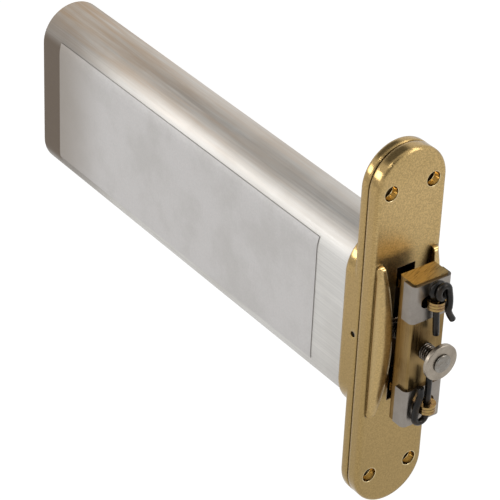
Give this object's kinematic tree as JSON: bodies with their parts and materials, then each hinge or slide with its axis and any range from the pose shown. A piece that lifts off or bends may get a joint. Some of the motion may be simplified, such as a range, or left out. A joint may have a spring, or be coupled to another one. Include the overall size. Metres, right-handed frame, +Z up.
{
  "type": "concealed door closer",
  "caption": "Twin-chain concealed door closer: a flat round-edged tube for the door edge, a face plate, and a frame plate drawn to it by sprung chains with a screw adjuster.",
  "frame": {"origin": "centre of the four screw holes, on the back of the face plate, where it seats on the door edge", "axes": "+X across the plates to the right as seen from the front, +Y into the door along the tube, +Z up along the plates"},
  "size_m": [0.0286, 0.2215, 0.141],
  "materials": {
    "satin_brass": "satin, worn bright on the edges",
    "machined_brass": "machined, slightly tarnished",
    "yellow_steel": "yellow zinc plate",
    "extruded_aluminium": "mill finish with drawing lines",
    "silver_film": "silver adhesive film, bare",
    "nickel_steel": "nickel plate",
    "screw_steel": "plain turned steel",
    "clip_steel": "zinc plate, satin",
    "black_spring_steel": "black oil finish",
    "spring_steel": "oiled spring wire",
    "plain_steel": "turned steel",
    "damper_bronze": "turned bronze",
    "seal_rubber": "moulded nitrile",
    "plug_plastic": "moulded nylon"
  },
  "bodies": {
    "closer_body": {"body_tube": "extruded_aluminium", "end_plug": "plug_plastic", "label_film": "silver_film", "face_plate": "satin_brass", "lock_pin": "screw_steel", "spring_washers": "plain_steel", "upper_spring": "spring_steel", "lower_spring": "spring_steel", "damper_cylinder": "plain_steel", "damper_front_plug": "plain_steel", "front_plug_seal": "seal_rubber", "damper_gland": "damper_bronze", "rod_seal": "seal_rubber", "gland_circlip": "plain_steel"},
    "frame_anchor": {"anchor_plate": "satin_brass"},
    "adjuster": {"adjuster_screw": "screw_steel", "adjuster_disc": "nickel_steel"},
    "pull_train": {"adjuster_block": "machined_brass", "upper_saddle_clip": "clip_steel", "lower_saddle_clip": "clip_steel", "upper_r_clip": "black_spring_steel", "lower_r_clip": "black_spring_steel", "upper_chain_outer_leaves": "yellow_steel", "upper_chain_inner_leaves": "yellow_steel", "upper_chain_pins": "plain_steel", "lower_chain_outer_leaves": "yellow_steel", "lower_chain_inner_leaves": "yellow_steel", "lower_chain_pins": "plain_steel", "upper_pull_rod": "plain_steel", "lower_pull_rod": "plain_steel", "crosshead": "plain_steel", "spring_cups": "plain_steel", "rod_nuts": "plain_steel", "damper_rod": "plain_steel", "damper_rod_nut": "plain_steel", "damper_piston": "plain_steel", "piston_seal": "seal_rubber", "valve_stop_ring": "plain_steel"},
    "non_return_valve": {"valve_disc": "plain_steel"}
  },
  "joints": [
    {"name": "plate_pull", "type": "slide", "parent": "closer_body", "child": "frame_anchor", "axis": [0, -1, 0], "range_m": [0, 0.054], "stiffness_N_per_m": 1500, "springref_m": -0.05, "deforming": ["upper_spring", "lower_spring"]},
    {"name": "adjuster_turn", "type": "hinge", "parent": "frame_anchor", "child": "adjuster", "pos_m": [0, -0.02, 0], "axis": [0, 1, 0], "range_deg": [-1261, 1441]},
    {"name": "adjuster_travel", "type": "slide", "parent": "frame_anchor", "child": "pull_train", "axis": [0, -1, 0], "range_m": [-0.0035, 0.004], "deforming": ["upper_spring", "lower_spring"]},
    {"name": "valve_lift", "type": "slide", "parent": "pull_train", "child": "non_return_valve", "axis": [0, 1, 0], "range_m": [0, 0.0008]}
  ],
  "couplings": [
    {"joint": "adjuster_turn", "follows": "adjuster_travel", "rad_per_m": 6283.2}
  ]
}
